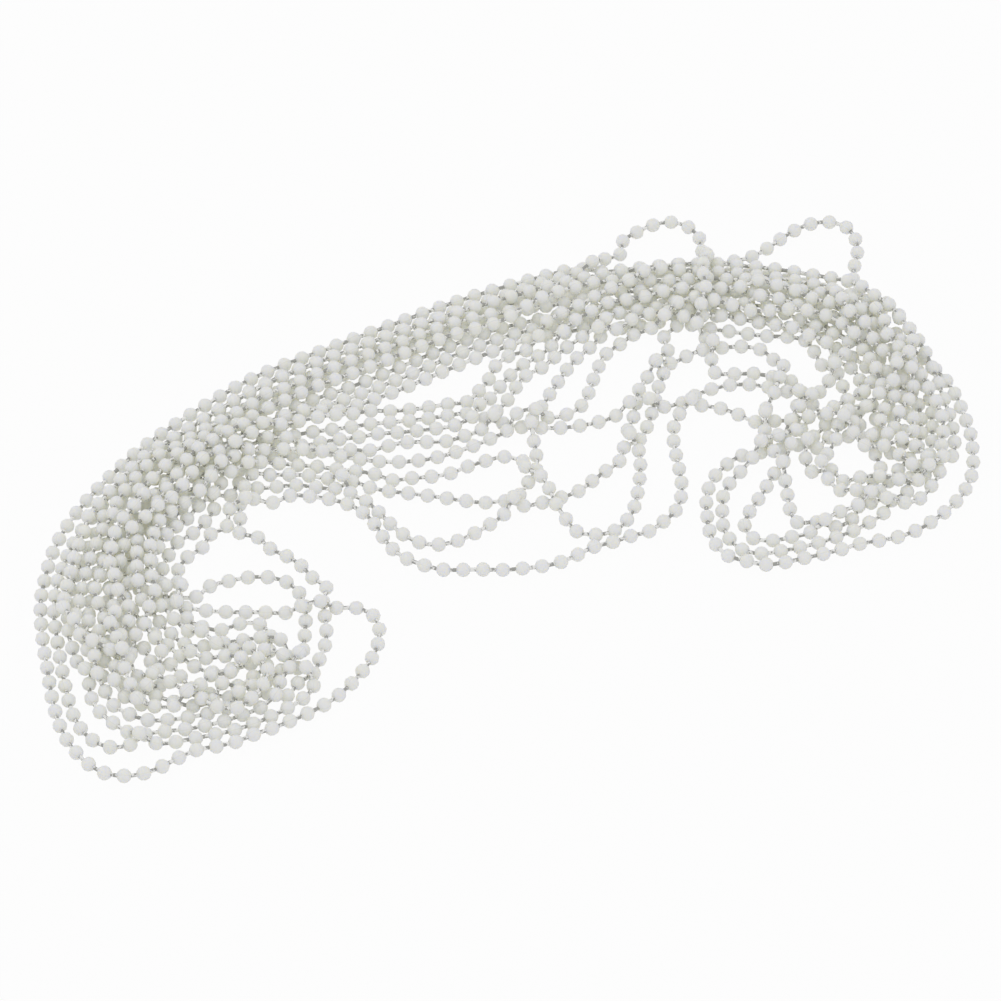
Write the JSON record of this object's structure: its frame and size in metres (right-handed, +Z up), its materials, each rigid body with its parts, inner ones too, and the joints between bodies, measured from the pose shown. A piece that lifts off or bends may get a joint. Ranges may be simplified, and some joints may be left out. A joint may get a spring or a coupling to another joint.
{
  "type": "blind bead chain",
  "caption": "Loose hank of moulded plastic bead chain that raises, lowers or turns a window blind when it is pulled over a sprocket",
  "frame": {"origin": "bottom centre of the hank's bounding box, on the surface that it lies on", "axes": "+X along the length of the hank, from the coiled end to the other end, +Y across it, away from the loose strands, +Z up"},
  "size_m": [0.288, 0.2398, 0.0151],
  "materials": {
    "chain_plastic": "warm white moulded beads with a soft gloss, on a cord of the same colour"
  },
  "bodies": {
    "root": {"top_loop_right": "chain_plastic", "outer_run_1": "chain_plastic", "left_end_outer": "chain_plastic", "lower_loop": "chain_plastic", "low_strand_2": "chain_plastic", "riser_2": "chain_plastic", "right_end_outer": "chain_plastic", "inner_run_3": "chain_plastic", "inner_run_3_part_2": "chain_plastic", "left_end_3": "chain_plastic", "strand_b": "chain_plastic", "riser_4": "chain_plastic", "run_4": "chain_plastic", "right_end_4": "chain_plastic", "top_loop_left": "chain_plastic", "outer_run_5": "chain_plastic", "left_end_5": "chain_plastic", "left_leg_6": "chain_plastic", "run_6": "chain_plastic", "run_6_part_2": "chain_plastic", "right_run_7": "chain_plastic", "run_7": "chain_plastic", "run_7_part_2": "chain_plastic", "strand_a": "chain_plastic", "long_strand_8": "chain_plastic", "right_turn_8": "chain_plastic", "top_run_9": "chain_plastic", "top_run_9_left": "chain_plastic", "left_end_9": "chain_plastic", "low_run_10": "chain_plastic", "right_run_10": "chain_plastic", "strand_11": "chain_plastic", "strand_11_left": "chain_plastic", "left_leg_11": "chain_plastic", "left_leg_12": "chain_plastic", "run_12": "chain_plastic", "strand_13": "chain_plastic", "low_run_13": "chain_plastic", "left_leg_14": "chain_plastic", "low_run_14": "chain_plastic", "right_run_14": "chain_plastic", "right_run_14_part_2": "chain_plastic", "run_15": "chain_plastic", "run_15_part_2": "chain_plastic", "left_end_15": "chain_plastic", "run_16": "chain_plastic", "run_16_part_2": "chain_plastic", "run_16_part_3": "chain_plastic", "top_run_17": "chain_plastic", "top_run_17_part_2": "chain_plastic", "left_end_17": "chain_plastic", "low_run_18": "chain_plastic", "right_run_18": "chain_plastic", "run_19": "chain_plastic", "low_run_19": "chain_plastic", "left_end_19": "chain_plastic"}
  },
  "joints": []
}
